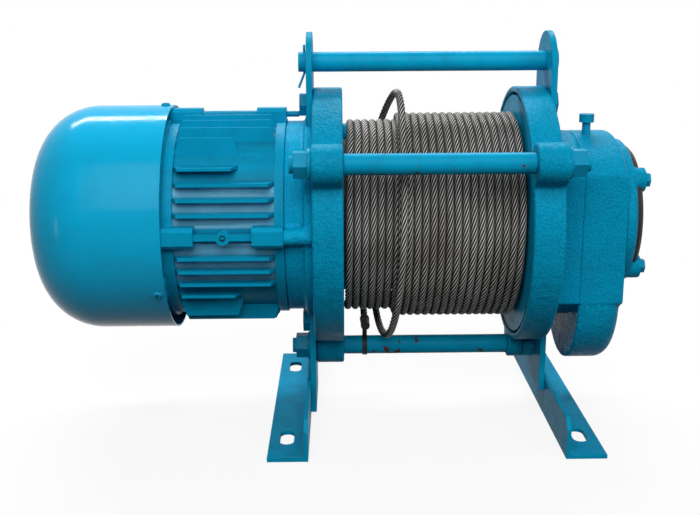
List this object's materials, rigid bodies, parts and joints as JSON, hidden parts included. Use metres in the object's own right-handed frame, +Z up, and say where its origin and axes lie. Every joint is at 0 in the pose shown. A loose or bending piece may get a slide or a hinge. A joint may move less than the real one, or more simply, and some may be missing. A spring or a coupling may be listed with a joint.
{
  "type": "electric winch",
  "caption": "Electric winch: finned brake motor, wire rope drum between two flanges tied by rods, and an in-line gearbox, standing on slotted angle feet with a hanger bar on top.",
  "frame": {"origin": "centre of the overall length and depth, on the floor under the feet", "axes": "+X along the drum axis from the motor to the gearbox, +Y from the front to the back, +Z up"},
  "size_m": [0.624, 0.3, 0.401],
  "materials": {
    "blue_paint": "satin sprayed enamel over castings and steel",
    "cowl_paint": "gloss sprayed enamel on drawn sheet",
    "zinc_steel": "zinc plated",
    "rope_steel": "greased bright wire rope",
    "machined_steel": "turned and oiled",
    "drum_iron": "turned, dark primer",
    "copper_wire": "varnished",
    "brake_lining": "bonded lining on a steel disc",
    "black_plastic": "moulded",
    "seal_rubber": "moulded"
  },
  "bodies": {
    "frame": {"left_foot": "blue_paint", "right_foot": "blue_paint", "foot_welds": "blue_paint", "left_side_plate": "blue_paint", "right_side_plate": "blue_paint", "side_plate_bolts": "blue_paint", "left_flange": "blue_paint", "right_flange": "blue_paint", "front_tie_rod": "blue_paint", "rear_tie_rod": "blue_paint", "bottom_tie_rod": "blue_paint", "tie_rod_nuts": "blue_paint", "tie_rod_washers": "blue_paint", "motor_frame": "blue_paint", "motor_front_shield": "blue_paint", "motor_rear_shield": "blue_paint", "gear_case_inner": "blue_paint", "gear_case_outer": "blue_paint", "end_cover": "blue_paint", "breather_plug": "blue_paint", "terminal_box": "blue_paint", "terminal_box_lid": "blue_paint", "end_cover_bolts": "blue_paint", "motor_studs": "blue_paint", "cowl_screws": "blue_paint", "fan_cowl": "cowl_paint", "terminal_box_screws": "zinc_steel", "gear_case_bolts": "zinc_steel", "brake_studs": "zinc_steel", "brake_springs": "zinc_steel", "rope_tail": "rope_steel", "rope_end_ferrule": "black_plastic", "left_drum_bearing": "machined_steel", "right_drum_bearing": "machined_steel", "countershaft_bearings": "machined_steel", "drive_shaft_bearing": "machined_steel", "motor_front_bearing": "machined_steel", "motor_rear_bearing": "machined_steel", "brake_magnet": "machined_steel", "stator_core": "machined_steel", "stator_winding": "copper_wire", "cable_gland": "black_plastic", "rope_tie": "black_plastic", "end_cap": "black_plastic", "drum_seal": "seal_rubber"},
    "drum": {"drum_barrel": "drum_iron", "drum_left_end": "blue_paint", "drum_right_end": "blue_paint", "rope_winding": "rope_steel", "output_gear": "machined_steel"},
    "rotor": {"motor_shaft": "machined_steel", "rotor_core": "machined_steel", "cooling_fan": "black_plastic", "brake_disc": "brake_lining", "drive_shaft": "machined_steel"},
    "countershaft": {"countershaft": "machined_steel", "intermediate_gear": "machined_steel"},
    "brake_armature": {"brake_armature": "machined_steel"},
    "hanger_bar": {"hanger_bar": "blue_paint", "split_pin": "blue_paint"}
  },
  "joints": [
    {"name": "drum_spin", "type": "hinge", "parent": "frame", "child": "drum", "pos_m": [0.093, 0, 0.212], "axis": [1, 0, 0], "continuous": true},
    {"name": "rotor_spin", "type": "hinge", "parent": "frame", "child": "rotor", "pos_m": [0.093, 0, 0.212], "axis": [1, 0, 0], "continuous": true},
    {"name": "countershaft_spin", "type": "hinge", "parent": "frame", "child": "countershaft", "pos_m": [0.093, 0, 0.139], "axis": [1, 0, 0], "continuous": true},
    {"name": "armature_release", "type": "slide", "parent": "frame", "child": "brake_armature", "axis": [-1, 0, 0], "range_m": [0, 0.0005], "stiffness_N_per_m": 4000, "springref_m": -0.003},
    {"name": "hanger_bar_turn", "type": "hinge", "parent": "frame", "child": "hanger_bar", "pos_m": [0.093, 0, 0.371], "axis": [1, 0, 0], "continuous": true}
  ],
  "couplings": [
    {"joint": "rotor_spin", "follows": "drum_spin", "ratio": 44.066},
    {"joint": "countershaft_spin", "follows": "drum_spin", "ratio": -5.6364}
  ]
}
